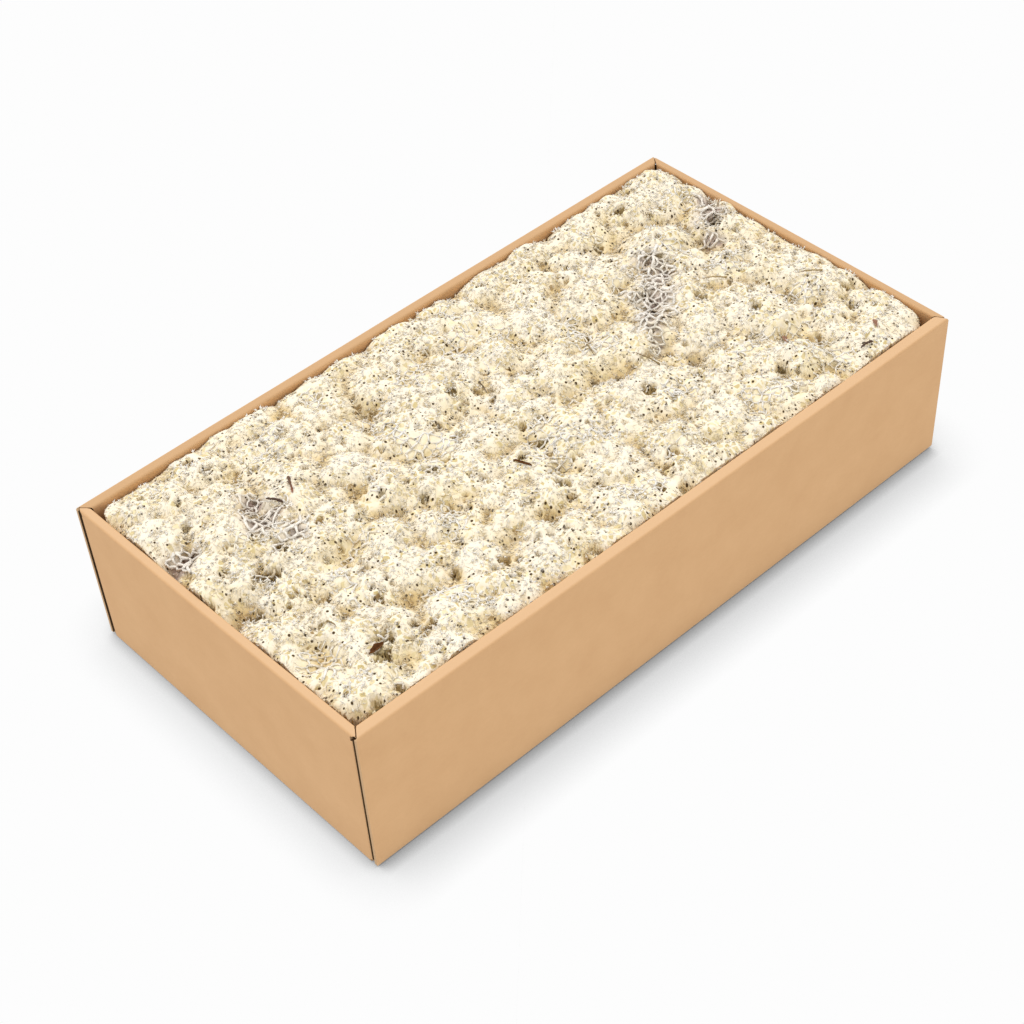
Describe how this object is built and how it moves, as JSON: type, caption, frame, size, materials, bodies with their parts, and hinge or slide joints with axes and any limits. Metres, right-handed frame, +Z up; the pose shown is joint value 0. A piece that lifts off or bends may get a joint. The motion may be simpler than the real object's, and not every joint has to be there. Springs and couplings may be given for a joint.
{
  "type": "tray of reindeer moss",
  "caption": "Shallow folded kraft board tray packed to its rim with cream reindeer moss heads, with a few needles, twigs, bark flakes and leaf bits on top.",
  "frame": {"origin": "middle of the tray's underside, where it rests", "axes": "+X along the tray's length, +Y along its width, +Z up out of the moss"},
  "size_m": [0.4, 0.212, 0.0983],
  "materials": {
    "kraft_board": "matte",
    "cream_moss": "matte",
    "grey_moss": "matte",
    "dry_needle": "satin",
    "bark": "matte",
    "dry_leaf": "matte"
  },
  "bodies": {
    "root": {"tray": "kraft_board", "moss_head_01": "cream_moss", "moss_head_02": "cream_moss", "moss_head_03": "cream_moss", "moss_head_04": "cream_moss", "moss_head_05": "cream_moss", "moss_head_06": "cream_moss", "moss_head_07": "cream_moss", "moss_head_08": "cream_moss", "moss_head_09": "cream_moss", "moss_head_10": "cream_moss", "moss_head_11": "cream_moss", "moss_head_12": "cream_moss", "moss_head_13": "cream_moss", "moss_head_14": "cream_moss", "moss_head_15": "cream_moss", "moss_head_16": "cream_moss", "moss_head_17": "cream_moss", "moss_head_18": "cream_moss", "moss_head_19": "cream_moss", "moss_head_20": "cream_moss", "moss_head_21": "cream_moss", "moss_head_22": "cream_moss", "moss_head_23": "cream_moss", "moss_head_24": "cream_moss", "moss_head_25": "cream_moss", "moss_head_26": "grey_moss", "moss_head_27": "cream_moss", "moss_head_28": "grey_moss", "moss_head_29": "grey_moss", "moss_head_30": "cream_moss", "moss_head_31": "cream_moss", "moss_head_32": "cream_moss", "moss_head_33": "cream_moss", "moss_head_34": "cream_moss", "moss_head_35": "cream_moss", "moss_head_36": "grey_moss", "moss_head_37": "cream_moss", "moss_head_38": "cream_moss", "moss_head_39": "cream_moss", "moss_head_40": "cream_moss", "moss_head_41": "cream_moss", "moss_head_42": "cream_moss", "moss_head_43": "cream_moss", "moss_head_44": "cream_moss", "moss_head_45": "cream_moss", "pine_needle_1": "dry_needle", "pine_needle_2": "dry_needle", "pine_needle_3": "dry_needle", "pine_needle_4": "dry_needle", "pine_needle_5": "dry_needle", "pine_needle_6": "dry_needle", "twig_1": "bark", "twig_2": "bark", "twig_3": "bark", "bark_flake_1": "bark", "bark_flake_2": "bark", "leaf_bit_1": "dry_leaf", "leaf_bit_2": "dry_leaf"}
  },
  "joints": []
}
